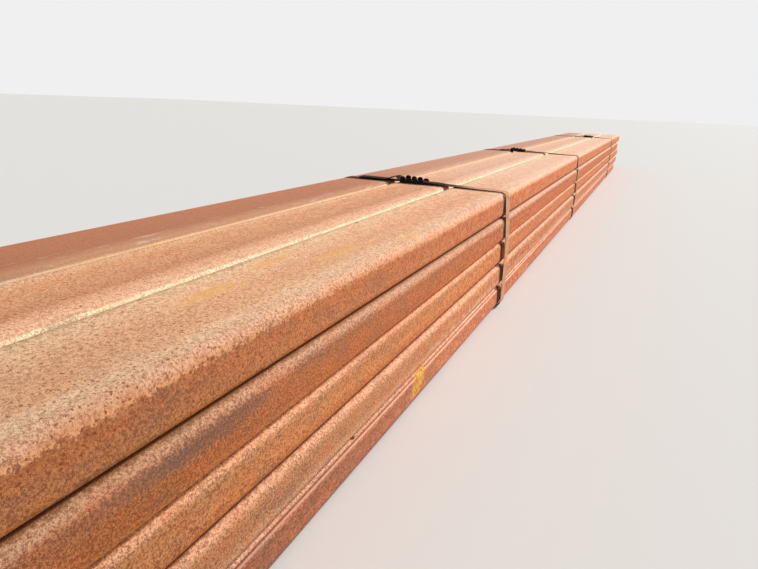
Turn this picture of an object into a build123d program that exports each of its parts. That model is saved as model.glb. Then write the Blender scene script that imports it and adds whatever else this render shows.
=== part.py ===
"""A strapped bundle of rectangular hollow steel tubes, three wide and five layers high.

X runs along the tubes, Y across the bundle and Z up. The origin is in the middle of the bundle's
length and width, on the level that the undersides of the straps rest on.
"""

import math
import os

from build123d import *

# Tube: a hollow section laid with its wide faces up and down
tube_length = 6096.0
tube_width = 127.0
tube_height = 50.8
tube_wall = 6.35
corner_radius = 12.7
bead_radius = 3.0
bead_rise = 1.2
side_seam_drop = 13.0

# Stack: the layers are counted from the bottom, and the columns from right to left
layer_count = 5
column_names = ("right", "middle", "left")
scale_gap = 0.3
column_gap = 1.0
layer_shift = {1: 1.0, 2: -1.0, 3: 0.5, 4: -2.0, 5: 2.0}
end_shift = {
    1: (-80.0, -14.0, 5.0),
    2: (40.0, 12.0, 38.0),
    3: (100.0, -29.0, -12.0),
    4: (-60.0, 16.0, 24.0),
    5: (120.0, 52.0, -18.0),
}

# Straps: flat steel bands, one near each end and two near the middle
strap_width = 31.75
strap_thickness = 0.9
outer_strap_inset = 609.6
middle_strap_spread = 1219.2
strap_shift = -100.0
lap_gap = 0.15
lap_end = 26.0
cut_gap = 2.0
ramp_run = 14.0
foot_bulge = {1: 2.0, 2: 4.0, 3: 1.5, 4: 1.0}
side_bow = {1: 1.5, 2: 5.0, 3: 4.0, 4: 2.0}
strap_lean = {1: 8.0, 2: 30.0, 3: 42.0, 4: -14.0}
lean_start = 24.0
tail_length = {1: 58.0, 2: 104.0, 3: 42.0, 4: 66.0}
tail_kink = {1: 4.0, 2: 8.0, 3: 2.0, 4: 5.0}
kink_run = 13.0
fall_run = 26.0

# Seals: steel sleeves folded over the lapped ends, their edges crimped into ears above and below
seal_length = 57.0
seal_wall = 1.0
seal_bend = 1.5
seal_side_play = 0.4
fold_gap = 1.6
fold_offset = 3.0
ear_gap = 1.6
ear_thickness = 1.0
ear_rise = (4.6, 6.6, 7.0, 8.6)
ear_shoulder = 0.62
ear_root = 1.2
ear_lean = 9.0
ear_drop = 1.4
seal_place = {1: 0.31, 2: 0.17, 3: 0.41, 4: -0.28}

# Worked out from the sizes above
bore_width = tube_width - 2 * tube_wall
bore_height = tube_height - 2 * tube_wall
bore_radius = corner_radius - tube_wall
layer_pitch = tube_height + scale_gap
column_pitch = tube_width + column_gap
column_count = len(column_names)
stack_width = column_count * tube_width + (column_count - 1) * column_gap
stack_base = strap_thickness + scale_gap
stack_top = stack_base + layer_count * tube_height + (layer_count - 1) * scale_gap
bow_layer = (layer_count + 1) // 2
foot_reach = max(foot_bulge.values()) - layer_shift[1]
bow_reach = max(side_bow.values()) - layer_shift[bow_layer]
right_reach = max(foot_reach, bow_reach, -min(layer_shift.values()))
shift_middle = (max(layer_shift.values()) - right_reach) / 2
all_end_shifts = [shift for row in end_shift.values() for shift in row]
end_middle = (max(all_end_shifts) + min(all_end_shifts)) / 2
bundle_half = tube_length / 2
strap_middle = strap_shift - end_middle
strap_places = (
    strap_middle - bundle_half + outer_strap_inset,
    strap_middle - middle_strap_spread / 2,
    strap_middle + middle_strap_spread / 2,
    strap_middle + bundle_half - outer_strap_inset,
)
ear_count = len(ear_rise)
seal_bottom = stack_top + scale_gap + ear_drop
mouth_width = strap_width + 2 * seal_side_play
mouth_height = 2 * strap_thickness + lap_gap + 2 * scale_gap
seal_width = mouth_width + 2 * seal_wall
seal_height = mouth_height + 2 * seal_wall


def layer_middle(layer):
    """Where the middle of a layer lies across the bundle."""
    return layer_shift[layer] - shift_middle


def layer_bottom(layer):
    """Height of the underside of a layer."""
    return stack_base + (layer - 1) * layer_pitch


def tube_section(seam_on_side):
    """The tube's section: rounded outside and bore, with the bead that the weld leaves in the bore."""
    with BuildSketch() as section:
        RectangleRounded(tube_width, tube_height, corner_radius)
        RectangleRounded(bore_width, bore_height, bore_radius, mode=Mode.SUBTRACT)
        bead_depth = bead_radius - bead_rise
        if seam_on_side:
            bead_point = (-bore_width / 2 - bead_depth, tube_height / 2 - side_seam_drop)
        else:
            bead_point = (0, -bore_height / 2 - bead_depth)
        with Locations(bead_point):
            Circle(bead_radius)
    return section.sketch


def make_tube(layer, column):
    """One tube in its place in the stack."""
    seam_on_side = layer == 1 and column == 0
    start = end_shift[layer][column] - end_middle - bundle_half
    across = layer_middle(layer) + (column - (column_count - 1) / 2) * column_pitch
    middle = layer_bottom(layer) + tube_height / 2
    with BuildPart() as tube:
        with BuildSketch(Plane(origin=(start, across, middle), x_dir=(0, 1, 0), z_dir=(1, 0, 0))):
            add(tube_section(seam_on_side))
        extrude(amount=tube_length)
    return tube.part


def taut_corners(seal_middle, number):
    """Centres of the corners that a taut strap bends round, in order round the bundle."""
    points = []
    for layer in range(1, layer_count + 1):
        low = layer_bottom(layer) + corner_radius
        high = low + tube_height - 2 * corner_radius
        reach = stack_width / 2 - corner_radius
        for side in (-1, 1):
            edge = layer_middle(layer) + side * reach
            points.append((edge, low))
            points.append((edge, high))
    foot = layer_middle(1) - stack_width / 2 + corner_radius - foot_bulge[number]
    points.append((foot, layer_bottom(1) + corner_radius))
    bow = layer_middle(bow_layer) - stack_width / 2 + corner_radius - side_bow[number]
    points.append((bow, layer_bottom(bow_layer) + corner_radius))
    points.append((bow, layer_bottom(bow_layer) + tube_height - corner_radius))
    seal_seat = seal_bottom + seal_wall - corner_radius
    points.append((seal_middle - seal_length / 2, seal_seat))
    points.append((seal_middle + seal_length / 2, seal_seat))
    points.sort()
    return half_hull(points)[:-1] + half_hull(points[::-1])[:-1]


def half_hull(points):
    """The points of one side of the taut loop, dropping those that the loop would leave inside."""
    side = []
    for point in points:
        while len(side) > 1 and turn(side[-2], side[-1], point) <= 0:
            side.pop()
        side.append(point)
    return side


def turn(first, second, third):
    """Twice the area of the triangle, positive where the path turns left."""
    along = (second[0] - first[0], second[1] - first[1])
    onward = (third[0] - first[0], third[1] - first[1])
    return along[0] * onward[1] - along[1] * onward[0]


def lean_outline(place, lean):
    """Outline, seen from the bundle's side, of a strap that runs aslant down the sides."""
    half = strap_width / 2
    turn_level = stack_top - lean_start
    beyond = stack_top + strap_width
    return (
        (place - half, beyond),
        (place - half, turn_level),
        (place - half + lean, 0),
        (place - half + lean, -strap_width),
        (place + half + lean, -strap_width),
        (place + half + lean, 0),
        (place + half, turn_level),
        (place + half, beyond),
    )


def make_strap(place, seal_middle, number):
    """A strap drawn tight round the stack, its two ends lapped under the seal, one end left as a tail."""
    reach = strap_width / 2 + abs(strap_lean[number])
    inside = corner_radius + scale_gap
    corners = taut_corners(seal_middle, number)
    lower_bottom = seal_bottom + seal_wall + scale_gap
    upper_bottom = lower_bottom + strap_thickness + lap_gap
    cut_middle = seal_middle - seal_length / 2 - lap_end
    foot = (cut_middle - ramp_run, lower_bottom - lap_gap)
    head = (cut_middle + ramp_run / 2, upper_bottom)
    leave = (seal_middle + seal_length / 2, upper_bottom)
    kink = tail_kink[number]
    crest = (leave[0] + kink_run, upper_bottom + kink)
    settle = (crest[0] + fall_run, upper_bottom)
    with BuildPart() as strap:
        with BuildSketch(Plane.YZ.offset(place - reach)):
            with BuildLine():
                Polyline(*corners, close=True)
            make_face()
            offset(amount=inside + strap_thickness, mode=Mode.REPLACE)
            with BuildSketch(mode=Mode.PRIVATE) as hollow:
                with BuildLine():
                    Polyline(*corners, close=True)
                make_face()
                offset(amount=inside, mode=Mode.REPLACE)
            add(hollow.sketch, mode=Mode.SUBTRACT)
            with Locations((cut_middle, lower_bottom)):
                Rectangle(cut_gap, 3 * strap_thickness, mode=Mode.SUBTRACT)
            with BuildLine() as upper:
                Polyline(foot, head, leave)
                rise = TangentArc(leave, middle_of(leave, crest), tangent=(1, 0))
                TangentArc(rise @ 1, crest, tangent=rise % 1)
                fall = TangentArc(crest, middle_of(crest, settle), tangent=(1, 0))
                TangentArc(fall @ 1, settle, tangent=fall % 1)
                Line(settle, (leave[0] + tail_length[number], upper_bottom))
                offset(amount=strap_thickness, side=Side.LEFT)
            make_face()
        extrude(amount=2 * reach)
        with BuildSketch(Plane.XZ.offset(-stack_width)):
            with BuildLine():
                Polyline(*lean_outline(place, strap_lean[number]), close=True)
            make_face()
        extrude(amount=2 * stack_width, mode=Mode.INTERSECT)
    return strap.part


def middle_of(first, second):
    """The point halfway between two points."""
    return ((first[0] + second[0]) / 2, (first[1] + second[1]) / 2)


def make_seal(place, seal_middle):
    """A sleeve folded round both strap ends, its edges crimped into ears that stand up and down."""
    seal_left = seal_middle + seal_length / 2
    ear_pitch = seal_length / ear_count
    ear_width = ear_pitch - ear_gap
    ear_top = seal_bottom + seal_height - ear_root
    with BuildPart() as seal:
        sleeve_plane = Plane(
            origin=(place, seal_left, seal_bottom + seal_height / 2), x_dir=(1, 0, 0), z_dir=(0, -1, 0)
        )
        with BuildSketch(sleeve_plane):
            RectangleRounded(seal_width, seal_height, seal_bend)
            RectangleRounded(mouth_width, mouth_height, seal_bend - seal_wall, mode=Mode.SUBTRACT)
            with Locations((fold_offset, seal_height / 2)):
                Rectangle(fold_gap, 3 * seal_wall, mode=Mode.SUBTRACT)
        extrude(amount=seal_length)
        for side in (-1, 1):
            edge = place + side * (seal_width - ear_thickness) / 2
            lean = side * math.sin(math.radians(ear_lean))
            stand = math.cos(math.radians(ear_lean))
            rising = Plane(origin=(edge, seal_middle, ear_top), x_dir=(0, 1, 0), z_dir=(stand, 0, lean))
            with BuildSketch(rising):
                for index in range(ear_count):
                    here = (index - (ear_count - 1) / 2) * ear_pitch
                    shoulder = ear_shoulder * ear_rise[index]
                    with BuildLine():
                        Line((here - ear_width / 2, 0), (here - ear_width / 2, shoulder))
                        ThreePointArc(
                            (here - ear_width / 2, shoulder),
                            (here, ear_root + ear_rise[index]),
                            (here + ear_width / 2, shoulder),
                        )
                        Line((here + ear_width / 2, shoulder), (here + ear_width / 2, 0))
                        Line((here + ear_width / 2, 0), (here - ear_width / 2, 0))
                    make_face()
            extrude(amount=ear_thickness / 2, both=True)
            with BuildSketch(Plane(origin=(edge, seal_middle, seal_bottom), x_dir=(0, 1, 0), z_dir=(1, 0, 0))):
                for index in range(ear_count):
                    here = (index - (ear_count - 1) / 2) * ear_pitch
                    with BuildLine():
                        Line((here - ear_width / 2, seal_wall + seal_bend / 2), (here - ear_width / 2, 0))
                        ThreePointArc(
                            (here - ear_width / 2, 0),
                            (here, -ear_drop),
                            (here + ear_width / 2, 0),
                        )
                        Line((here + ear_width / 2, 0), (here + ear_width / 2, seal_wall + seal_bend / 2))
                        Line(
                            (here + ear_width / 2, seal_wall + seal_bend / 2),
                            (here - ear_width / 2, seal_wall + seal_bend / 2),
                        )
                    make_face()
            extrude(amount=ear_thickness / 2, both=True)
    return seal.part


os.makedirs("parts", exist_ok=True)

for layer in range(1, layer_count + 1):
    for column, column_name in enumerate(column_names):
        tube_name = f"tube_layer{layer}_{column_name}"
        tube_part = make_tube(layer, column)
        tube_part.label = tube_name
        export_step(tube_part, f"parts/{tube_name}.step")

for number, strap_place in enumerate(strap_places, start=1):
    seal_middle = seal_place[number] * column_pitch
    strap_part = make_strap(strap_place, seal_middle, number)
    strap_part.label = f"strap_{number}"
    export_step(strap_part, f"parts/strap_{number}.step")
    seal_part = make_seal(strap_place, seal_middle)
    seal_part.label = f"strap_seal_{number}"
    export_step(seal_part, f"parts/strap_seal_{number}.step")
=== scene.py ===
"""Looks of a strapped bundle of rusty rectangular hollow steel tubes: meshes, finishes, light and camera."""

import logging
import math
from dataclasses import dataclass
from enum import Enum
from typing import Any, Mapping, Union

import bmesh
import bpy
from mathutils import Matrix, Vector


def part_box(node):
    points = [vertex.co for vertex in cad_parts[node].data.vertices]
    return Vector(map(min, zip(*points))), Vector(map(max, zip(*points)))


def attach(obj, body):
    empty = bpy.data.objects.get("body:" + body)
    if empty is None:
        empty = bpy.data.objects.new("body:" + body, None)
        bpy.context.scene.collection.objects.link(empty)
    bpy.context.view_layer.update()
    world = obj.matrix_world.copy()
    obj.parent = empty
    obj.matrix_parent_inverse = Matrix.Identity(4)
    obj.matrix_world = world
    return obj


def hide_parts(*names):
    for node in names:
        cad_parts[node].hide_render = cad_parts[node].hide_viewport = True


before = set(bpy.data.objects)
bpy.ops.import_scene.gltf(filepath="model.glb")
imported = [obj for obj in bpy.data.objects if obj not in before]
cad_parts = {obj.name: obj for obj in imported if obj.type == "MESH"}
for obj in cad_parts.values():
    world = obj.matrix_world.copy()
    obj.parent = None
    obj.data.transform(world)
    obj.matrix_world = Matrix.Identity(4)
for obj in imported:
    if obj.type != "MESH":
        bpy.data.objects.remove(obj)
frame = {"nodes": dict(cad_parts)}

log = logging.getLogger("bundle")

Colour = tuple[float, float, float]
Band = tuple[float, Colour]
Look = dict[str, Any]
Span = tuple[float, float]
Term = Union[float, "Shade"]

LAYER_COUNT = 5
STRAP_COUNT = 4
BEND_LEVEL = 0.2324  # height, in metres, at which the straps start to lean on their way down
WHITE: Colour = (255, 255, 255)
SEED_STEP = (1.7, 0.9, 1.0)  # how far a seed of 1 moves a pattern along X, Y and Z


class Column(Enum):
    """The three columns of tubes, named as seen from the near end."""

    RIGHT = "right"
    MIDDLE = "middle"
    LEFT = "left"


def linear(colour: Colour) -> tuple[float, float, float, float]:
    """Turns a colour as seen on screen into the light values that shaders use.

    Args:
        colour: Red, green and blue from 0 to 255.

    Returns:
        The linear red, green and blue, and an alpha of 1.
    """
    def channel(value: float) -> float:
        """One channel of it."""
        share = value / 255
        return share / 12.92 if share <= 0.04045 else ((share + 0.055) / 1.055) ** 2.4

    return (*(channel(value) for value in colour), 1.0)


class Shade:
    """One output of a shader tree, used in expressions as a number is."""

    def __init__(self, tree: "ShaderTree", socket: bpy.types.NodeSocket) -> None:
        """Keeps the tree and the socket."""
        self.tree = tree
        self.socket = socket

    def _join(self, operation: str, first: Term, second: Term) -> "Shade":
        """One Math node on two terms."""
        return self.tree.shade("ShaderNodeMath", {"operation": operation}, {0: first, 1: second})

    def __add__(self, other: Term) -> "Shade":
        """Sum of the two."""
        return self._join("ADD", self, other)

    def __radd__(self, other: Term) -> "Shade":
        """Sum of the two, the other way round."""
        return self._join("ADD", other, self)

    def __sub__(self, other: Term) -> "Shade":
        """Difference of the two."""
        return self._join("SUBTRACT", self, other)

    def __rsub__(self, other: Term) -> "Shade":
        """Difference of the two, the other way round."""
        return self._join("SUBTRACT", other, self)

    def __mul__(self, other: Term) -> "Shade":
        """Product of the two."""
        return self._join("MULTIPLY", self, other)

    def __rmul__(self, other: Term) -> "Shade":
        """Product of the two, the other way round."""
        return self._join("MULTIPLY", other, self)

    def __truediv__(self, other: Term) -> "Shade":
        """Quotient of the two."""
        return self._join("DIVIDE", self, other)

    def __abs__(self) -> "Shade":
        """Size without the sign."""
        return self.tree.shade("ShaderNodeMath", {"operation": "ABSOLUTE"}, {0: self})

    def most(self, other: Term) -> "Shade":
        """The greater of the two."""
        return self._join("MAXIMUM", self, other)

    def swing(self, reach: float) -> "Shade":
        """Noise from 0 to 1 turned into a swing about 0, with a given reach from end to end."""
        return (self - 0.5) * reach


class ShaderTree:
    """Any shader tree, built from expressions."""

    def __init__(self, tree: bpy.types.NodeTree) -> None:
        """Keeps the tree that nodes are added to."""
        self.tree = tree

    def node(self, kind: str, settings: Mapping[str, Any], sockets: Mapping[Any, Any]) -> bpy.types.Node:
        """Adds any node.

        Args:
            kind: The node's type.
            settings: Its own settings, set first; "stops" are the places and colours of a ramp.
            sockets: Values or shades for its inputs, by name or index.

        Returns:
            The new node.
        """
        made = self.tree.nodes.new(kind)
        for name, value in settings.items():
            if name == "stops":
                self._set_stops(made.color_ramp, value)
            else:
                setattr(made, name, value)
        for name, value in sockets.items():
            if isinstance(value, Shade):
                self.tree.links.new(value.socket, made.inputs[name])
            else:
                made.inputs[name].default_value = value
        return made

    def _set_stops(self, ramp: bpy.types.ColorRamp, stops: tuple[Band, ...]) -> None:
        """Gives a ramp its places and colours.

        Args:
            ramp: The ramp.
            stops: Each place from 0 to 1 with its colour.
        """
        while len(ramp.elements) < len(stops):
            ramp.elements.new(1.0)
        for element, (place, colour) in zip(ramp.elements, stops):
            element.position = place
            element.color = linear(colour)

    def shade(
        self, kind: str, settings: Mapping[str, Any], sockets: Mapping[Any, Any], output: int = 0
    ) -> Shade:
        """Adds any node and gives back one of its outputs as a shade."""
        return Shade(self, self.node(kind, settings, sockets).outputs[output])


class FinishTree(ShaderTree):
    """The shader tree of one material."""

    def __init__(self, name: str) -> None:
        """Starts a material with its one shader.

        Args:
            name: The material's name.
        """
        self.material = bpy.data.materials.new(name)
        self.material.use_nodes = True
        super().__init__(self.material.node_tree)
        self.shader = self.tree.nodes["Principled BSDF"]

    def place(self) -> Shade:
        """The point of the surface in the bundle's own frame, in metres."""
        return self.shade("ShaderNodeTexCoord", {}, {}, 3)

    def facing(self) -> tuple[Shade, Shade, Shade]:
        """The parts of the surface's outward direction along X, Y and Z."""
        return self.parts(self.shade("ShaderNodeNewGeometry", {}, {}, 1))

    def parts(self, vector: Shade) -> tuple[Shade, Shade, Shade]:
        """The X, Y and Z parts of a vector."""
        made = self.node("ShaderNodeSeparateXYZ", {}, {0: vector})
        return tuple(Shade(self, socket) for socket in made.outputs)

    def stretched(self, vector: Shade, along: float, seed: float, upward: float = 1.0) -> Shade:
        """A vector scaled and moved on, for patterns that run one way.

        Args:
            vector: The vector.
            along: Scale of its X part.
            seed: How far it is moved on, so that no two tubes are alike.
            upward: Scale of its Z part.

        Returns:
            The new vector.
        """
        return self.shade(
            "ShaderNodeMapping", {},
            {
                "Vector": vector, "Location": tuple(seed * step for step in SEED_STEP),
                "Scale": (along, 1.0, upward),
            },
        )

    def noise(self, vector: Shade, size: float, detail: float = 2.0, roughness: float = 0.5) -> Shade:
        """Soft noise from 0 to 1.

        Args:
            vector: Where it is read.
            size: Width of its lumps, in metres.
            detail: How many finer layers it has.
            roughness: How strong the finer layers are.

        Returns:
            The noise.
        """
        return self.shade(
            "ShaderNodeTexNoise", {},
            {"Vector": vector, "Scale": 1.0 / size, "Detail": detail, "Roughness": roughness},
        )

    def cells(self, vector: Shade, size: float) -> Shade:
        """Distance from the middle of scattered cells of a given width in metres."""
        return self.shade("ShaderNodeTexVoronoi", {}, {"Vector": vector, "Scale": 1.0 / size})

    def smooth(self, value: Shade, low: float, high: float) -> Shade:
        """Rises softly from 0 to 1.

        Args:
            value: What it goes by.
            low: The value up to which it is 0.
            high: The value from which it is 1.

        Returns:
            The share from 0 to 1.
        """
        return self.shade(
            "ShaderNodeMapRange", {"interpolation_type": "SMOOTHSTEP"},
            {"Value": value, "From Min": low, "From Max": high},
        )

    def bands(self, value: Shade, stops: tuple[Band, ...]) -> Shade:
        """Colour bands that a value from 0 to 1 runs through."""
        return self.shade("ShaderNodeValToRGB", {"stops": stops}, {0: value})

    def mix(self, first: Any, second: Any, share: Term) -> Shade:
        """Blends two colours.

        Args:
            first: A shade, or a colour as seen on screen, where the share is 0.
            second: The same where the share is 1.
            share: How much of the second one shows.

        Returns:
            The blended colour.
        """
        sides = [side if isinstance(side, Shade) else linear(side) for side in (first, second)]
        return self.shade(
            "ShaderNodeMix", {"data_type": "RGBA"}, {0: share, 6: sides[0], 7: sides[1]}, 2
        )

    def brightened(self, colour: Shade, factor: Term) -> Shade:
        """A colour scaled by a factor."""
        return self.shade("ShaderNodeVectorMath", {"operation": "SCALE"}, {0: colour, 3: factor})

    def tinted(self, colour: Shade, low: Colour, high: Colour, share: Shade) -> Shade:
        """Multiplies a colour by a tint.

        Args:
            colour: The colour.
            low: The tint's red, green and blue factors where the share is 0.
            high: Its factors where the share is 1.
            share: How far the tint has gone from low to high.

        Returns:
            The tinted colour.
        """
        tint = self.shade(
            "ShaderNodeMix", {"data_type": "RGBA"}, {0: share, 6: (*low, 1.0), 7: (*high, 1.0)}, 2
        )
        return self.shade("ShaderNodeVectorMath", {"operation": "MULTIPLY"}, {0: colour, 1: tint})

    def capped(self, colour: Shade, most: float) -> Shade:
        """A colour none of whose channels passes a limit."""
        return self.shade("ShaderNodeVectorMath", {"operation": "MINIMUM"}, {0: colour, 1: (most,) * 3})

    def raised(self, height: Shade, depth: float) -> Shade:
        """The surface's direction after relief from 0 to 1, as deep as given in metres."""
        return self.shade("ShaderNodeBump", {}, {"Height": height, "Distance": depth, "Strength": 1.0})

    def finish(self, fixed: Mapping[str, float], **varied: Shade) -> bpy.types.Material:
        """Feeds the shader and ends the material.

        Args:
            fixed: Values that are the same all over the surface, by socket name.
            **varied: Shades for the sockets base_color, roughness and normal.

        Returns:
            The material.
        """
        for name, value in fixed.items():
            self.shader.inputs[name].default_value = value
        for name, value in varied.items():
            self.tree.links.new(value.socket, self.shader.inputs[name.replace("_", " ").title()])
        return self.material


@dataclass
class TubeSurface:
    """What is read on one tube, once, and the colour that the steps of its finish build up there."""

    tree: FinishTree
    place: Shade
    x: Shade
    z: Shade
    facing_y: Shade
    measure: Shade
    above: Shade
    near: Shade
    far: Shade
    even: Shade
    sand: Shade
    grain: Shade
    cloud: Shade
    drift: Shade
    flaky: Shade
    teeth: Shade
    colour: Any = None

    def lay(self, tone: Any, share: Term) -> None:
        """Lays a tone over the colour, by a share from 0 to 1."""
        self.colour = self.tree.mix(self.colour, tone, share)


@dataclass(frozen=True)
class PaintMark:
    """A yellow paint-stick dab on the right side of a tube: a rough patch that leans and has narrow ends."""

    along: float
    height: float
    width: float
    tall: float
    strength: float = 1.0
    lean: float = 0.35
    narrowing: float = 0.3
    wear: float = 0.6
    edge: Span = (0.8, 1.05)

    def cover(self, seen: TubeSurface) -> Shade:
        """Where the paint lies.

        Args:
            seen: The surface that it lies on.

        Returns:
            A mask from 0 to its strength.
        """
        upward = (seen.z - self.height) / (self.tall / 2)
        across = (seen.x - self.along) / (self.width / 2) - upward * self.lean
        worn = seen.grain.swing(self.wear)
        sides = 1 - seen.tree.smooth(abs(across) + upward * upward * self.narrowing + worn, *self.edge)
        ends = 1 - seen.tree.smooth(abs(upward) + worn, *self.edge)
        return sides * ends * self.strength


@dataclass(frozen=True)
class Blot:
    """A small patch of another tone on a tube: fresh rust, a nick or a smear of dirt.

    Its place is how far along the tube it lies, and where on the slanting measure round the section.
    """

    along: float
    measure: float
    long: float
    wide: float
    tone: Colour
    share: float
    fray: float = 3.0
    edge: Span = (0.4, 1.2)

    def cover(self, seen: TubeSurface) -> Shade:
        """Where the patch lies.

        Args:
            seen: The surface that it lies on.

        Returns:
            A mask from 0 to its share.
        """
        across = (seen.x - self.along) / (self.long / 2)
        up = (seen.measure - self.measure) / (self.wide / 2)
        reach = across * across + up * up + seen.grain.swing(self.fray)
        return (1 - seen.tree.smooth(reach, *self.edge)) * self.share


@dataclass(frozen=True)
class RustTones:
    """Tones of what lies on the rust, and of the painted shade and sheen, alike on every tube."""

    pit: Colour = (142, 66, 34)
    crumb: Colour = (146, 84, 30)
    ledge_crumb: Colour = (134, 76, 28)
    scuff: Colour = (232, 206, 188)
    seam_line: Colour = (104, 54, 38)
    seam_ridge: Colour = (232, 176, 146)
    fleck: Colour = (244, 172, 120)
    # Dust on the tops, with painted sheen
    dust_and_sheen_tone: Colour = (255, 230, 200)
    # Painted shadow of the straps
    painted_shade: Colour = (16, 10, 8)
    thin_paint: Colour = (214, 124, 48)
    thick_paint: Colour = (255, 206, 84)
    # The near tint is bluer, partly a painted sky sheen
    near_tint: Colour = (1.04, 1.13, 1.14)
    far_tint: Colour = (0.98, 0.90, 0.84)


@dataclass(frozen=True)
class RustPattern:
    """Sizes of the rust's patterns, in metres, and the levels at which they show, alike on every tube."""

    # Stretches along the bundle over which its look changes
    near_run: Span = (-1.75, -0.85)
    far_run: Span = (-0.95, -0.4)
    grit_run: Span = (-1.7, -0.5)
    tint_run: Span = (-1.75, -0.35)
    near_end_shade_run: Span = (-1.82, -1.5)
    # How far a face must look up, or left, to count as a top, or a left side
    above_levels: Span = (0.5, 0.9)
    left_levels: Span = (0.2, 0.4)
    # Widths of the noises' lumps, and how far those that run along the tube are drawn out and moved on
    sand: float = 0.0025
    grit: float = 0.010
    flake: float = 0.006
    cloud: float = 0.022
    cloud_draw: float = 0.4
    cloud_seed: float = 7.1
    drift: float = 0.05
    drift_draw: float = 0.16
    drift_seed: float = 2.3
    streak: float = 0.006
    streak_draw: float = 0.12
    streak_seed: float = 5.3
    stroke: float = 0.006
    # How far the noises push the bands' edges
    teeth_reach: float = 0.022
    teeth_loss: float = 0.6
    drift_reach: float = 0.01
    sand_reach: float = 0.004
    # Patches of warmer and cooler rust, and the grain
    patch_grain: float = 0.5
    warm_levels: Span = (0.5, 0.66)
    cool_levels: Span = (0.34, 0.5)
    loss_above: float = 0.67
    loss_near: float = 0.65
    grain_levels: Span = (0.34, 0.66)
    # Crumbs at the foot of a side and on the ledge under the next tube
    foot_fray: float = 0.03
    foot_fade: Span = (0.002, 0.007)
    ledge_fray: float = 0.02
    ledge_fade: Span = (0.003, 0.008)
    # Pits
    pit_size: float = 0.0036
    pit_fray: float = 0.7
    pit_edge: Span = (0.16, 0.34)
    pit_patches: Span = (0.36, 0.56)
    pit_start: float = 0.008
    # Scuffs along the right edge of a top
    scuff_levels: Span = (0.58, 0.7)
    scuff_fade: Span = (0.02, 0.06)
    # The weld's line with its ridge
    seam_waver: float = 0.0015
    seam_width: Span = (0.0004, 0.0012)
    seam_share: float = 0.75
    ridge_drop: float = 0.0024
    ridge_width: Span = (0.0006, 0.0018)
    ridge_share: float = 0.6
    # Painted light and shade on the rust, its flecks on the corner, and the tops' dust with painted sheen
    gain_loss_above: float = 0.75
    fleck_drop: float = 0.0085
    fleck_levels: Span = (0.48, 0.58)
    fleck_width: Span = (0.001, 0.0045)
    near_dust_and_sheen: float = 0.06
    far_dust_and_sheen: float = 0.26
    # Painted shadow of the straps, on the tubes ahead of their near edges
    painted_shade_fray: float = 0.006
    painted_shade_start: Span = (-0.0005, 0.0)
    painted_shade_fade: Span = (0.010, 0.020)
    painted_shade_loss_above: float = 0.010
    painted_shade_share: float = 0.95
    # Paint
    paint_levels: Span = (0.42, 0.58)
    paint_seed: float = 3.7
    paint_squash: float = 0.7
    paint_side: Span = (0.15, 0.45)
    paint_share: float = 0.9
    # Roughness outside the pits, how much they add to it, and the depth of the relief
    roughness: float = 0.74
    pit_roughness: float = 0.16
    relief: float = 0.0007


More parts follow.
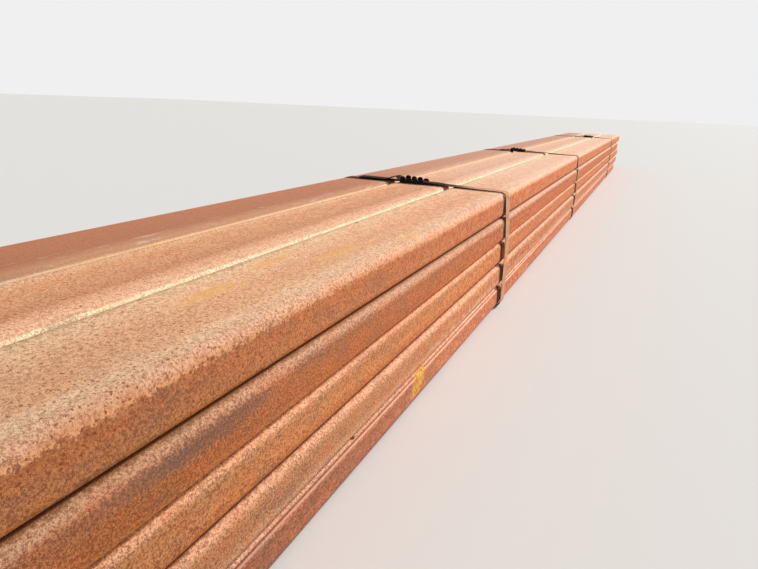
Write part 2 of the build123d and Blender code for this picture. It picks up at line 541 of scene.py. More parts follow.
@dataclass(frozen=True)
class RustFinish:
    """Rust on one tube: bands of tone round its upper right corner, which also hold painted light, broken up
    by mottling, pits and dirt.

    The bands follow a slanting measure, in metres: the way in from the right face less the way down from
    the top. It runs from minus the tube's height at the foot of the side, through 0 on the corner, to the
    tube's width at the left edge of the top. The values given here are those of a tube hidden in the stack.
    """

    name: str
    right: float
    left: float
    bottom: float
    top: float
    bands: tuple[Band, ...]
    seed: float
    warm: Colour = (224, 140, 94)
    cool: Colour = (150, 86, 60)
    clouds: float = 0.45
    contrast: float = 0.95
    shadow: Colour = (0.32, 0.54, 0.62)
    speck: Colour = (0.30, 0.40, 0.48)
    dust_and_sheen: float = 1.0
    near_gain: float = 0.2
    far_gain: float = 0.1
    ragged: float = 0.5
    wander: float = 0.3
    clean_to: float = 0.006
    pits: float = 0.4
    near_end_shade: float = 0.0
    flecks: float = 0.0
    litter: float = 0.0
    ledge_litter: float = 0.0
    scuffs: float = 0.0
    seam: float = 0.0
    marks: tuple[PaintMark, ...] = ()
    blots: tuple[Blot, ...] = ()
    band_edges: tuple[Span, ...] = ()
    tones: RustTones = RustTones()
    pattern: RustPattern = RustPattern()

    def make(self) -> bpy.types.Material:
        """Builds the material.

        Returns:
            The material of this tube.
        """
        seen = self._read()
        pits = self._pit_cover(seen)
        self._band(seen)
        self._mottle(seen)
        self._litter(seen)
        seen.lay(self.tones.pit, pits * self.pits)
        if self.scuffs:
            self._scuff(seen)
        if self.seam:
            self._mark_seam(seen)
        self._light(seen)
        self._blot_and_shade(seen)
        self._paint(seen)
        return seen.tree.finish(
            {"Metallic": 0.0, "Specular IOR Level": 0.3, "Diffuse Roughness": 0.1},
            base_color=seen.tree.capped(seen.colour, 1.0),
            roughness=self.pattern.roughness + pits * self.pattern.pit_roughness,
            normal=seen.tree.raised(seen.grain, self.pattern.relief),
        )

    def _read(self) -> TubeSurface:
        """Reads what the steps of the finish go by.

        Returns:
            The surface, without a colour yet.
        """
        pattern = self.pattern
        tree = FinishTree(self.name)
        place = tree.place()
        x, y, z = tree.parts(place)
        _, facing_y, facing_z = tree.facing()
        # On faces that look left the measure starts from the left face
        from_right, from_left = y - self.right, self.left - y
        inward = from_right + (from_left - from_right) * tree.smooth(facing_y, *pattern.left_levels)
        even = tree.stretched(place, 1.0, self.seed)
        drawn_cloud = tree.stretched(place, pattern.cloud_draw, self.seed + pattern.cloud_seed)
        drawn_drift = tree.stretched(place, pattern.drift_draw, self.seed + pattern.drift_seed)
        sand = tree.noise(even, pattern.sand, 2.0, 1.0)
        grit = tree.noise(even, pattern.grit, 2.0, 1.0)
        flaky = tree.noise(even, pattern.flake, 3.0, 0.85)
        near = tree.smooth(x, *pattern.near_run)
        return TubeSurface(
            tree=tree, place=place, x=x, z=z, facing_y=facing_y,
            measure=inward - (self.top - z),
            above=tree.smooth(facing_z, *pattern.above_levels),
            near=near, far=tree.smooth(x, *pattern.far_run),
            even=even, sand=sand, flaky=flaky,
            grain=sand + (grit - sand) * tree.smooth(x, *pattern.grit_run),
            cloud=tree.noise(drawn_cloud, pattern.cloud, 3.0, 0.65),
            drift=tree.noise(drawn_drift, pattern.drift, 3.0),
            teeth=flaky.swing(pattern.teeth_reach * self.ragged) * (1 - pattern.teeth_loss * near),
        )

    def _band(self, seen: TubeSurface) -> None:
        """Starts with the bands of tone, whose edges wander and are ragged.

        Args:
            seen: The surface, which gets its first colour.
        """
        waver = seen.drift.swing(self.pattern.drift_reach * self.wander)
        fray = seen.sand.swing(self.pattern.sand_reach * self.wander)
        seen.colour = seen.tree.bands(self._share(seen.measure + (waver + seen.teeth + fray)), self._stops())

    def _mottle(self, seen: TubeSurface) -> None:
        """Adds warmer and cooler patches and the grain, and turns the tint along the bundle.

        Args:
            seen: The surface that is coloured.
        """
        pattern, tree = self.pattern, seen.tree
        hue = seen.cloud + seen.grain.swing(pattern.patch_grain)
        cloudy = self.clouds * (1 - pattern.loss_above * seen.above) * (1 - pattern.loss_near * seen.near)
        seen.lay(self.warm, tree.smooth(hue, *pattern.warm_levels) * cloudy)
        seen.lay(self.cool, (1 - tree.smooth(hue, *pattern.cool_levels)) * cloudy)
        dark = tuple(1 - self.contrast * part for part in self.shadow)
        light = tuple(1 + self.contrast * part for part in self.speck)
        seen.colour = tree.tinted(seen.colour, dark, light, tree.smooth(seen.grain, *pattern.grain_levels))
        # The tint turns along the bundle; its bluer near end is partly a painted sky sheen
        along = tree.smooth(seen.x, *pattern.tint_run)
        seen.colour = tree.tinted(seen.colour, self.tones.near_tint, self.tones.far_tint, along)

    def _litter(self, seen: TubeSurface) -> None:
        """Adds brown crumbs in the grooves between the layers.

        Args:
            seen: The surface that is coloured.
        """
        pattern, tree = self.pattern, seen.tree
        if self.litter:
            risen = seen.measure + (self.top - self.bottom) + seen.flaky.swing(pattern.foot_fray)
            seen.lay(self.tones.crumb, (1 - tree.smooth(risen, *pattern.foot_fade)) * self.litter)
        if self.ledge_litter:
            ledge = tree.smooth(seen.measure + seen.flaky.swing(pattern.ledge_fray), *pattern.ledge_fade)
            seen.lay(self.tones.ledge_crumb, ledge * self.ledge_litter)

    def _pit_cover(self, seen: TubeSurface) -> Shade:
        """Where the pits lie.

        Args:
            seen: The surface that they lie in.

        Returns:
            A mask from 0 to 1.
        """
        pattern, tree = self.pattern, seen.tree
        ragged = tree.cells(seen.even, pattern.pit_size) + seen.sand.swing(pattern.pit_fray)
        dots = 1 - tree.smooth(ragged, *pattern.pit_edge)
        patches = tree.smooth(seen.cloud, *pattern.pit_patches)
        return dots * patches * tree.smooth(seen.measure, self.clean_to, self.clean_to + pattern.pit_start)

    def _scuff(self, seen: TubeSurface) -> None:
        """Adds pale scuffs that run along the tube near its right edge.

        Args:
            seen: The surface that is coloured.
        """
        pattern, tree = self.pattern, seen.tree
        drawn = tree.stretched(seen.place, pattern.streak_draw, self.seed + pattern.streak_seed)
        streak = tree.smooth(tree.noise(drawn, pattern.streak, 4.0, 0.7), *pattern.scuff_levels)
        beside_edge = 1 - tree.smooth(seen.measure, *pattern.scuff_fade)
        seen.lay(self.tones.scuff, streak * beside_edge * self.scuffs)

    def _mark_seam(self, seen: TubeSurface) -> None:
        """Adds the weld's dark line and the pale ridge below it.

        Args:
            seen: The surface that is coloured.
        """
        pattern, tree = self.pattern, seen.tree
        drop = self.top - seen.z + seen.drift.swing(pattern.seam_waver)
        line = 1 - tree.smooth(abs(drop - self.seam), *pattern.seam_width)
        ridge = 1 - tree.smooth(abs(drop - (self.seam + pattern.ridge_drop)), *pattern.ridge_width)
        seen.lay(self.tones.seam_line, line * pattern.seam_share)
        seen.lay(self.tones.seam_ridge, ridge * pattern.ridge_share)

    def _light(self, seen: TubeSurface) -> None:
        """Paints light and shade along the bundle, peach flecks on the corner, and tops paler with dust and
        painted sheen.

        Args:
            seen: The surface that is coloured.
        """
        pattern, tree = self.pattern, seen.tree
        # Painted light: the near and the far stretch brightened, less on the tops
        gain = seen.near * self.near_gain + seen.far * self.far_gain
        lit = 1 + gain * (1 - pattern.gain_loss_above * seen.above)
        # Painted shade on the near end of the bundle
        risen = (1 - self.near_end_shade) + tree.smooth(seen.x, *pattern.near_end_shade_run) * self.near_end_shade
        seen.colour = tree.brightened(seen.colour, lit * risen)
        if self.flecks:
            rim = abs(seen.measure + seen.teeth + pattern.fleck_drop)
            on_rim = 1 - tree.smooth(rim, *pattern.fleck_width)
            seen.lay(self.tones.fleck, tree.smooth(seen.flaky, *pattern.fleck_levels) * on_rim * self.flecks)
        # Paler tops: dust, with a painted sheen that grows towards the far end
        pale = seen.near * pattern.near_dust_and_sheen + seen.far * pattern.far_dust_and_sheen
        seen.lay(self.tones.dust_and_sheen_tone, pale * seen.above * self.dust_and_sheen)

    def _blot_and_shade(self, seen: TubeSurface) -> None:
        """Adds the blots, and a painted shadow of each strap on the tube, ahead of its near edge.

        Args:
            seen: The surface that is coloured.
        """
        pattern, tree = self.pattern, seen.tree
        for blot in self.blots:
            seen.lay(blot.tone, blot.cover(seen))
        # Painted shadow of each strap, on the near side of its edge
        for place, lean in self.band_edges:
            # The way to the strap's near edge, which runs aslant down the side
            ahead = place + lean - seen.z * (lean / BEND_LEVEL) - seen.x
            frayed = ahead + seen.sand.swing(pattern.painted_shade_fray) + seen.above * pattern.painted_shade_loss_above
            painted_shade = tree.smooth(ahead, *pattern.painted_shade_start) * (1 - tree.smooth(frayed, *pattern.painted_shade_fade))
            seen.lay(self.tones.painted_shade, painted_shade * pattern.painted_shade_share)

    def _paint(self, seen: TubeSurface) -> None:
        """Adds the paint marks.

        Args:
            seen: The surface that is coloured.
        """
        pattern, tree = self.pattern, seen.tree
        for mark in self.marks:
            squashed = tree.stretched(seen.place, 1.0, pattern.paint_seed, pattern.paint_squash)
            strokes = tree.smooth(tree.noise(squashed, pattern.stroke, 3.0, 0.8), *pattern.paint_levels)
            paint = tree.mix(self.tones.thin_paint, self.tones.thick_paint, strokes)
            on_side = tree.smooth(seen.facing_y * -1.0, *pattern.paint_side)
            seen.lay(paint, mark.cover(seen) * on_side * pattern.paint_share)

    def _share(self, measure: Term) -> Term:
        """The measure as a share of its whole run."""
        height, width = self.top - self.bottom, self.left - self.right
        return (measure + height) / (height + width)

    def _stops(self) -> tuple[Band, ...]:
        """The bands with their places as shares of the measure's run."""
        return tuple((max(0.0, min(1.0, self._share(place / 1000))), colour) for place, colour in self.bands)


@dataclass(frozen=True)
class BandFinish:
    """Thin rusted steel band: painted shade on the run over the top, with a painted glint in it, rubbed and
    paler down the sides.
    """

    middles: tuple[float, ...]
    name: str = "rusted_band_steel"
    flat: Colour = (216, 164, 122)
    # Painted shade on the runs over the top
    painted_shade_tone: Colour = (58, 38, 30)
    upright: Colour = (222, 170, 136)
    rust: Colour = (160, 92, 58)
    speckle: Colour = (108, 60, 42)
    dab: Colour = (246, 176, 78)
    lifted: Colour = (24, 16, 13)
    edge: Colour = (34, 22, 18)
    half_width: float = 0.015875
    cloud_size: float = 0.018
    grain_size: float = 0.003
    above_levels: Span = (0.3, 0.8)
    side_levels: Span = (0.5, 0.9)
    rust_levels: Span = (0.48, 0.7)
    speckle_levels: Span = (0.56, 0.7)
    patch_share: float = 0.5
    least_painted_shade: float = 0.002
    more_painted_shade: float = 0.016
    more_painted_shade_past: Span = (-0.07, -0.05)
    painted_shade_waver: float = 0.01
    painted_shade_fade: Span = (0.0, 0.006)
    painted_shade_start: Span = (-0.006, -0.004)
    glint_place: float = -0.062
    glint_width: Span = (0.004, 0.009)
    glint_painted_shade_share: float = 0.3
    more_painted_shade_share: float = 0.65
    dab_heights: tuple[float, ...] = (0.1925, 0.105)
    dab_fray: float = 0.016
    dab_width: Span = (0.002, 0.007)
    dab_from: Span = (-0.76, -0.75)
    dab_to: Span = (-0.69, -0.68)
    dab_share: float = 0.65
    lifted_from: Span = (0.2584, 0.2594)
    lifted_share: float = 0.9
    roughness: float = 0.72
    grain_roughness: float = 0.25
    relief: float = 0.0005

    def make(self) -> bpy.types.Material:
        """Builds the material.

        Returns:
            The material of the straps.
        """
        tree = FinishTree(self.name)
        place = tree.place()
        x, y, z = tree.parts(place)
        facing_x, facing_y, facing_z = tree.facing()
        cloud = tree.noise(place, self.cloud_size, 3.0, 0.6)
        grain = tree.noise(place, self.grain_size, 2.0, 0.8)
        above = tree.smooth(facing_z, *self.above_levels)
        colour = tree.mix(self.upright, self.flat, above)
        colour = tree.mix(colour, self.rust, tree.smooth(cloud, *self.rust_levels) * self.patch_share)

        # Painted shade along the near edge of each run over the top, and over most of it past the first
        # tube; less of it at one place across, a painted glint
        off_glint = tree.smooth(abs(y - self.glint_place), *self.glint_width)
        painted_shade_share = self.glint_painted_shade_share + self.more_painted_shade_share * off_glint
        reach = self.least_painted_shade + tree.smooth(y, *self.more_painted_shade_past) * self.more_painted_shade
        for middle in self.middles:
            inward = x - middle + self.half_width + cloud.swing(self.painted_shade_waver)
            fades = 1 - tree.smooth(inward - reach, *self.painted_shade_fade)
            painted_shade = fades * tree.smooth(inward, *self.painted_shade_start) * above
            colour = tree.mix(colour, self.painted_shade_tone, painted_shade * painted_shade_share)
        colour = tree.mix(colour, self.speckle, tree.smooth(grain, *self.speckle_levels) * self.patch_share)

        # Dabs of paint on the right side of one strap
        on_strap = (1 - tree.smooth(x, *self.dab_to)) * tree.smooth(x, *self.dab_from)
        on_side = tree.smooth(facing_y * -1.0, *self.side_levels)
        for height in self.dab_heights:
            level = abs(z - height) + grain.swing(self.dab_fray)
            dab = (1 - tree.smooth(level, *self.dab_width)) * on_side
            colour = tree.mix(colour, self.dab, dab * on_strap * self.dab_share)

        colour = tree.mix(colour, self.lifted, tree.smooth(z, *self.lifted_from) * self.lifted_share)
        # Painted shade on the cut edges, which face along the bundle
        colour = tree.mix(colour, self.edge, tree.smooth(abs(facing_x), *self.side_levels))
        return tree.finish(
            {"Metallic": 0.0, "Specular IOR Level": 0.06},
            base_color=colour, roughness=self.roughness + grain * self.grain_roughness,
            normal=tree.raised((grain + cloud) / 2, self.relief),
        )


@dataclass(frozen=True)
class SealFinish:
    """Crimped seal: steel painted near black as shade, with rust, and painted highlights on its tips."""

    name: str = "dark_seal_steel"
    body: Colour = (12, 9, 8)
    rust: Colour = (62, 36, 26)
    tip_highlight: Colour = (236, 198, 172)
    rust_levels: Span = (0.5, 0.7)
    rust_share: float = 0.5
    ear_top: float = 0.2702
    tip_height: float = 0.002
    tip_waver: float = 0.004
    tip_levels: Span = (0.44, 0.54)
    tip_share: float = 0.85
    cloud_size: float = 0.006
    grain_size: float = 0.0015
    roughness: float = 0.6
    grain_roughness: float = 0.3
    cloud_relief: float = 0.6
    relief: float = 0.0004

    def make(self) -> bpy.types.Material:
        """Builds the material.

        Returns:
            The material of the seals.
        """
        tree = FinishTree(self.name)
        place = tree.place()
        _, _, z = tree.parts(place)
        cloud = tree.noise(place, self.cloud_size, 3.0, 0.6)
        grain = tree.noise(place, self.grain_size, 2.0)
        # Near-black body: painted shade, with patches of rust
        colour = tree.mix(self.body, self.rust, tree.smooth(cloud, *self.rust_levels) * self.rust_share)
        # Painted highlights on the ears' tips
        worn = tree.smooth(z + cloud.swing(self.tip_waver), self.ear_top - self.tip_height, self.ear_top)
        colour = tree.mix(colour, self.tip_highlight, worn * tree.smooth(cloud, *self.tip_levels) * self.tip_share)
        height = cloud * self.cloud_relief + grain * (1 - self.cloud_relief)
        return tree.finish(
            {"Metallic": 0.0, "Specular IOR Level": 0.15},
            base_color=colour, roughness=self.roughness + grain * self.grain_roughness,
            normal=tree.raised(height, self.relief),
        )


@dataclass
class HollowTube:
    """One rectangular hollow section with rounded corners, a bore with its weld bead, and sawn ends."""

    node: str
    finish: RustFinish
    low: Vector
    high: Vector
    wall: float = 0.00635
    corner: float = 0.0127
    arc_steps: int = 10
    ring_count: int = 36
    bead_half: float = 0.0029
    bead_rise: float = 0.0012
    side_seam_drop: float = 0.013
    seam_on_side: bool = False
    burr: float = 0.0007
    bead_cuts: int = 24
    long_share: float = 0.9
    near_enough: float = 1e-5
    rim_angle: float = 1.0
    smooth_angle: float = math.radians(35)

    def build(self) -> bpy.types.Object:
        """Makes the tube's mesh in its place and dresses it.

        Returns:
            The tube's object, which stands for its node.
        """
        shell = bmesh.new()
        self._section(shell)
        self._bead(shell)
        self._draw_out(shell)
        self._break_rims(shell)
        bmesh.ops.recalc_face_normals(shell, faces=shell.faces)
        mesh = bpy.data.meshes.new(f"{self.node}_mesh")
        shell.to_mesh(mesh)
        shell.free()
        mesh.shade_smooth()
        mesh.set_sharp_from_angle(angle=self.smooth_angle)
        tube = bpy.data.objects.new(f"rusty_{self.node}", mesh)
        bpy.context.scene.collection.objects.link(tube)
        mesh.materials.append(self.finish.make())
        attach(tube, "root")
        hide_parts(self.node)
        return tube

    def _section(self, shell: bmesh.types.BMesh) -> None:
        """Lays out the wall's section at the near end.

        Args:
            shell: The mesh that it is made in.
        """
        middle = (self.low + self.high) / 2
        half_width = (self.high.y - self.low.y) / 2
        half_height = (self.high.z - self.low.z) / 2
        upright = Matrix((
            (0, 0, 1, self.low.x),
            (half_width, 0, 0, middle.y),
            (0, half_height, 0, middle.z),
            (0, 0, 0, 1),
        ))
        bmesh.ops.create_grid(shell, x_segments=1, y_segments=1, size=1.0, matrix=upright)
        bmesh.ops.bevel(
            shell, geom=shell.verts[:], offset=self.corner, offset_type="OFFSET", segments=self.arc_steps,
            profile=0.5, affect="VERTICES", material=-1,
        )
        ring = bmesh.ops.inset_region(
            shell, faces=shell.faces[:], thickness=self.wall, use_boundary=True, use_even_offset=True
        )["faces"]
        bore = [face for face in shell.faces if face not in ring]
        bmesh.ops.delete(shell, geom=bore, context="FACES_ONLY")

    def _bead(self, shell: bmesh.types.BMesh) -> None:
        """Raises the weld's bead on the bore's wall.

        Args:
            shell: The mesh that holds the section.
        """
        if self.seam_on_side:
            wall_place, along, into = self.low.y + self.wall, Vector((0, 0, 1)), Vector((0, 1, 0))
            bead_middle = self.high.z - self.side_seam_drop
            long_way = (self.high.z - self.low.z) - 2 * self.corner
        else:
            wall_place, along, into = self.low.z + self.wall, Vector((0, 1, 0)), Vector((0, 0, 1))
            bead_middle = (self.low.y + self.high.y) / 2
            long_way = (self.high.y - self.low.y) - 2 * self.corner
        straight = [
            edge for edge in shell.edges
            if edge.calc_length() > long_way * self.long_share
            and all(abs(vert.co.dot(into) - wall_place) < self.near_enough for vert in edge.verts)
        ]
        made = bmesh.ops.subdivide_edges(shell, edges=straight, cuts=self.bead_cuts)
        for vert in (part for part in made["geom_inner"] if isinstance(part, bmesh.types.BMVert)):
            reach = (vert.co.dot(along) - bead_middle) / self.bead_half
            if abs(reach) < 1:
                vert.co += into * self.bead_rise * (1 - reach * reach)

    def _draw_out(self, shell: bmesh.types.BMesh) -> None:
        """Draws the section out to the tube's length and rings it.

        Args:
            shell: The mesh that holds the section.
        """
        length = self.high.x - self.low.x
        made = bmesh.ops.extrude_face_region(shell, geom=shell.faces[:])
        moved = [part for part in made["geom"] if isinstance(part, bmesh.types.BMVert)]
        bmesh.ops.translate(shell, verts=moved, vec=(length, 0, 0))
        long_edges = [edge for edge in shell.edges if edge.calc_length() > length * self.long_share]
        bmesh.ops.subdivide_edges(shell, edges=long_edges, cuts=self.ring_count)

    def _break_rims(self, shell: bmesh.types.BMesh) -> None:
        """Breaks the sawn ends' sharp outer and inner rims.

        Args:
            shell: The mesh of the tube.
        """
        ends = (self.low.x, self.high.x)
        rims = [
            edge for edge in shell.edges
            if any(all(abs(vert.co.x - end) < self.near_enough for vert in edge.verts) for end in ends)
            and len(edge.link_faces) == 2
            and edge.calc_face_angle(0.0) > self.rim_angle
        ]
        bmesh.ops.bevel(
            shell, geom=rims, offset=self.burr, offset_type="OFFSET", segments=2, profile=0.5,
            affect="EDGES", material=-1,
        )


def seal_middle(number: int) -> float:
    """Where the middle of a numbered seal, and so of its strap's run over the top, lies along the bundle."""
    low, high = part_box(f"strap_seal_{number}")
    return (low.x + high.x) / 2


class TubeStack:
    """The fifteen tubes, three in each layer, with the finish that each one has."""

    # Tones by their place on the slanting measure, in millimetres, for the tubes that show; tops paler than
    # sides partly as painted light
    bands: dict[tuple[int, Column], tuple[Band, ...]] = {
        (5, Column.RIGHT): (
            (-50, (96, 56, 24)), (-47, (144, 84, 38)), (-43, (204, 126, 66)), (-36, (194, 120, 74)),
            (-18, (196, 115, 65)), (-12, (190, 116, 70)), (-9, (220, 152, 108)), (-3, (230, 168, 128)),
            (8, (226, 174, 136)), (20, (238, 189, 150)), (34, (228, 169, 126)), (60, (227, 166, 123)),
            (100, (242, 188, 145)), (110, (236, 194, 150)), (117, (204, 148, 107)), (127, (190, 134, 98)),
        ),
        # The cream stops at -7 and 0 on the middle and left tops are a painted highlight on their sunlit
        # right corners
        (5, Column.MIDDLE): (
            (-50, (150, 92, 62)), (-14, (196, 116, 74)), (-7, (255, 238, 196)), (0, (255, 228, 184)),
            (3, (232, 176, 140)), (12, (236, 180, 140)), (20, (236, 174, 134)), (38, (204, 138, 96)),
            (60, (214, 150, 108)), (92, (224, 156, 110)), (110, (234, 180, 136)), (118, (200, 144, 106)),
            (127, (190, 134, 98)),
        ),
        (5, Column.LEFT): (
            (-50, (150, 92, 62)), (-14, (196, 116, 74)), (-7, (252, 216, 170)), (0, (232, 182, 138)),
            (4, (188, 134, 98)), (14, (197, 138, 101)), (38, (177, 108, 74)), (100, (183, 112, 74)),
        ),
        (4, Column.RIGHT): (
            (-50, (130, 74, 34)), (-44, (222, 132, 66)), (-38, (186, 104, 50)), (-29, (188, 108, 56)),
            (-20, (182, 109, 64)), (-13, (172, 104, 64)), (-8, (190, 127, 87)), (-4, (206, 150, 114)),
            (4, (206, 152, 110)), (20, (160, 104, 72)),
        ),
        (3, Column.RIGHT): (
            (-50, (150, 82, 38)), (-44, (198, 112, 50)), (-36, (204, 124, 66)), (-28, (214, 136, 80)),
            (-14, (197, 129, 79)), (-8, (203, 138, 92)), (-4, (236, 168, 124)), (4, (248, 178, 126)),
            (20, (160, 104, 72)),
        ),
        (2, Column.RIGHT): (
            (-50, (140, 88, 58)), (-44, (186, 126, 98)), (-38, (217, 158, 114)), (-28, (194, 129, 87)),
            (-12, (196, 132, 88)), (-6, (216, 154, 112)), (-1, (242, 176, 136)), (5, (228, 162, 120)),
            (20, (160, 104, 72)),
        ),
        (1, Column.RIGHT): (
            (-50, (120, 58, 36)), (-44, (140, 74, 52)), (-37, (170, 106, 74)), (-14, (158, 96, 66)),
            (-9, (186, 122, 90)), (-1, (202, 138, 104)), (4, (246, 192, 156)), (20, (160, 104, 72)),
        ),
    }
    # The same for the tubes that don't show
    plain_bands: tuple[Band, ...] = (
        (-50, (146, 84, 48)), (-40, (196, 116, 68)), (-14, (196, 116, 70)), (-4, (226, 166, 120)),
        (20, (210, 150, 108)), (120, (206, 142, 100)),
    )
    # What the tubes that show have of their own: down the right side, at its foot, and on the top
    right_look: Look = dict(
        wander=1.0, clean_to=-1.0, litter=0.75, ledge_litter=0.7, near_end_shade=0.20,
        warm=(212, 118, 70), cool=(140, 96, 76),
    )
    foot_look: Look = dict(
        seam=0.0062,
        marks=(PaintMark(-1.2060, 0.033, 0.050, 0.038), PaintMark(-0.468, 0.026, 0.04, 0.03, 0.6)),
    )
    top_looks: dict[Column, Look] = {
        Column.RIGHT: dict(ragged=1.0, contrast=0.75, pits=0.75, flecks=0.75, ledge_litter=0.0),
        Column.MIDDLE: dict(ragged=0.12, contrast=0.75, pits=0.75, near_end_shade=0.06),
        Column.LEFT: dict(
            ragged=0.12, contrast=0.3, clouds=0.15, dust_and_sheen=0.5, pits=0.1, scuffs=0.8, near_end_shade=0.28
        ),
    }
    # How much painted light brightens each layer in the near and in the far stretch
    gains: dict[int, Span] = {
        5: (0.35, 0.2), 4: (0.3, 0.15), 3: (0.28, -0.04), 2: (0.4, -0.1), 1: (0.95, 0.05),
    }
    seed_by_layer: float = 1.37
    seed_by_column: float = 4.1
    # Patches on the tubes of the right side
    blots: dict[int, tuple[Blot, ...]] = {
        5: (
            Blot(-1.550, 0.078, 0.090, 0.022, (244, 176, 92), 0.5),
            Blot(-1.439, 0.094, 0.080, 0.020, (244, 176, 92), 0.45),
            Blot(-1.360, 0.052, 0.100, 0.026, (244, 176, 92), 0.4),
            Blot(-1.239, 0.014, 0.080, 0.014, (244, 176, 92), 0.4),
            Blot(-1.195, 0.114, 0.009, 0.004, (54, 34, 24), 0.95),
            Blot(-0.0275, -0.033, 0.050, 0.012, (122, 80, 56), 0.6),
        ),
        4: (
            Blot(-1.635, -0.016, 0.130, 0.022, (112, 86, 74), 0.45),
            Blot(-1.710, -0.014, 0.090, 0.016, (120, 94, 82), 0.35),
        ),
        2: (Blot(-1.500, -0.041, 0.003, 0.003, (255, 244, 230), 0.9),),
        1: (Blot(-1.4068, 0.0014, 0.010, 0.005, (40, 26, 20), 0.95),),
    }

    def finish_for(self, layer: int, column: Column, low: Vector, high: Vector) -> RustFinish:
        """Picks the finish of one tube.

        Args:
            layer: Counted from the bottom.
            column: The tube's column.
            low: The lowest corner of the tube.
            high: The highest corner of the tube.

        Returns:
            The finish.
        """
        look: Look = {}
        if column is Column.RIGHT:
            look.update(self.right_look, blots=self.blots.get(layer, ()))
            if layer == 1:
                look.update(self.foot_look)
        if layer == LAYER_COUNT:
            look.update(self.top_looks[column])
        if (layer, column) in self.bands:
            near_gain, far_gain = self.gains[layer]
            look.update(near_gain=near_gain, far_gain=far_gain, band_edges=self.band_edges())
        return RustFinish(
            name=f"rust_layer{layer}_{column.value}",
            right=low.y, left=high.y, bottom=low.z, top=high.z,
            bands=self.bands.get((layer, column), self.plain_bands),
            seed=layer * self.seed_by_layer + list(Column).index(column) * self.seed_by_column,
            **look,
        )

    def band_edges(self) -> tuple[Span, ...]:
        """Where each strap's near edge lies on the top, and how far it moves along on its way down.

        Returns:
            One pair of place and lean in metres for each strap.
        """
        edges = []
        for number in range(1, STRAP_COUNT + 1):
            low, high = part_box(f"strap_{number}")
            middle = seal_middle(number)
            half = min(middle - low.x, high.x - middle)
            edges.append((middle - half, low.x + high.x - 2 * middle))
        return tuple(edges)

    def build(self) -> list[bpy.types.Object]:
        """Builds every tube of the stack.

        Returns:
            The tubes' objects.
        """
        made = []
        for layer in range(1, LAYER_COUNT + 1):
            for column in Column:
                node = f"tube_layer{layer}_{column.value}"
                low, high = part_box(node)
                tube = HollowTube(
                    node, self.finish_for(layer, column, low, high), low, high,
                    seam_on_side=layer == 1 and column is Column.RIGHT,
                )
                made.append(tube.build())
                log.info("built %s with %d faces", made[-1].name, len(made[-1].data.polygons))
        return made


class Strapping:
    """The straps and their seals, which keep their solids and get their finish here."""

    def dress(self, nodes: Mapping[str, bpy.types.Object]) -> None:
        """Gives every strap and seal its finish.

        Args:
            nodes: The solids by name.
        """
        middles = tuple(seal_middle(number) for number in range(1, STRAP_COUNT + 1))
        band, seal = BandFinish(middles).make(), SealFinish().make()
        for name, solid in nodes.items():
            if name.startswith("strap_"):
                material = seal if "seal" in name else band
                solid.data.materials.clear()
                solid.data.materials.append(material)
                log.info("dressed %s with %s", name, material.name)


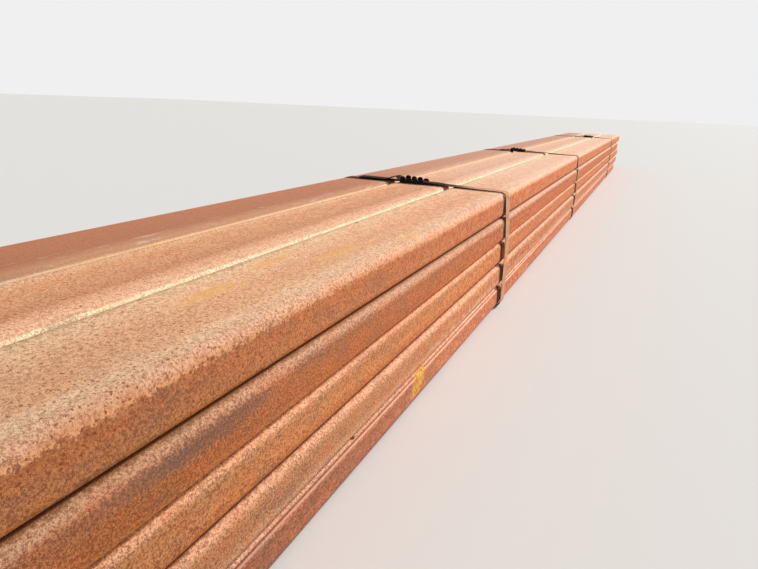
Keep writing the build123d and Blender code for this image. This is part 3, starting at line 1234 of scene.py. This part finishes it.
@dataclass
class Studio:
    """Pale floor, plain soft light, and the camera at the picture's place."""

    floor_reach: float = 40.0
    floor_tone: Colour = (226, 224, 220)
    floor_shine: float = 0.1
    floor_roughness: float = 0.9
    backdrop: Colour = (240, 240, 240)
    sun_from: tuple[float, float, float] = (0.78, -0.30, 0.55)
    sun_strength: float = 3.4
    sun_spread: float = math.radians(7)
    sky_strength: float = 0.40
    camera_place: tuple[float, float, float] = (-1.9290, -0.44725, 0.42360)
    turn: float = 0.4267
    tilt: float = -0.3070
    roll: float = 0.0418
    lens: float = 27.19
    sensor_width: float = 36.0
    clip: Span = (0.01, 200.0)

    def build(self) -> None:
        """Sets up floor, sky, sun and camera."""
        self._floor()
        self._sky()
        self._sun()
        self._camera()
        bpy.context.scene.view_settings.view_transform = "Standard"

    def _floor(self) -> None:
        """Lays the floor."""
        sheet = bmesh.new()
        bmesh.ops.create_grid(sheet, x_segments=1, y_segments=1, size=self.floor_reach)
        mesh = bpy.data.meshes.new("floor_mesh")
        sheet.to_mesh(mesh)
        sheet.free()
        floor = bpy.data.objects.new("floor", mesh)
        bpy.context.scene.collection.objects.link(floor)
        tree = FinishTree("pale_floor")
        tree.shader.inputs["Base Color"].default_value = linear(self.floor_tone)
        shine = {"Roughness": self.floor_roughness, "Specular IOR Level": self.floor_shine}
        mesh.materials.append(tree.finish(shine))

    def _sky(self) -> None:
        """Lights the scene evenly, with a pale backdrop for the camera and for reflections."""
        world = bpy.data.worlds.new("studio")
        world.use_nodes = True
        world.node_tree.nodes.clear()
        tree = ShaderTree(world.node_tree)
        rays = tree.node("ShaderNodeLightPath", {}, {})
        viewed, mirrored, passed = (
            Shade(tree, rays.outputs[f"Is {kind} Ray"]) for kind in ("Camera", "Glossy", "Transmission")
        )
        light = tree.shade(
            "ShaderNodeBackground", {}, {"Color": linear(WHITE), "Strength": self.sky_strength}
        )
        backdrop = tree.shade("ShaderNodeBackground", {}, {"Color": linear(self.backdrop), "Strength": 1.0})
        shown = viewed.most(mirrored.most(passed))
        choice = tree.shade("ShaderNodeMixShader", {}, {0: shown, 1: light, 2: backdrop})
        tree.node("ShaderNodeOutputWorld", {}, {"Surface": choice})
        bpy.context.scene.world = world

    def _sun(self) -> None:
        """Hangs the one soft lamp."""
        lamp = bpy.data.lights.new("soft_sun", "SUN")
        lamp.energy = self.sun_strength
        lamp.angle = self.sun_spread
        sun = bpy.data.objects.new("soft_sun", lamp)
        sun.rotation_mode = "QUATERNION"
        sun.rotation_quaternion = Vector(self.sun_from).to_track_quat("Z", "Y")
        bpy.context.scene.collection.objects.link(sun)

    def _camera(self) -> None:
        """Sets up the camera close to the bundle's near right corner."""
        lens = bpy.data.cameras.new("view")
        lens.lens, lens.sensor_width = self.lens, self.sensor_width
        lens.clip_start, lens.clip_end = self.clip
        forward = Vector((
            math.cos(self.turn) * math.cos(self.tilt), math.sin(self.turn) * math.cos(self.tilt),
            math.sin(self.tilt),
        ))
        level = Vector((math.sin(self.turn), -math.cos(self.turn), 0.0))
        right = level * math.cos(self.roll) + level.cross(forward) * math.sin(self.roll)
        upward = right.cross(forward)
        camera = bpy.data.objects.new("view", lens)
        camera.matrix_world = (
            Matrix.Translation(self.camera_place) @ Matrix((right, upward, -forward)).transposed().to_4x4()
        )
        bpy.context.scene.collection.objects.link(camera)
        bpy.context.scene.camera = camera


def main() -> None:
    """Builds and dresses the bundle, then sets up the studio."""
    logging.basicConfig(level=logging.INFO, format="%(message)s")
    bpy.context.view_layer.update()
    TubeStack().build()
    Strapping().dress(frame["nodes"])
    Studio().build()


if __name__ == "__main__":
    main()
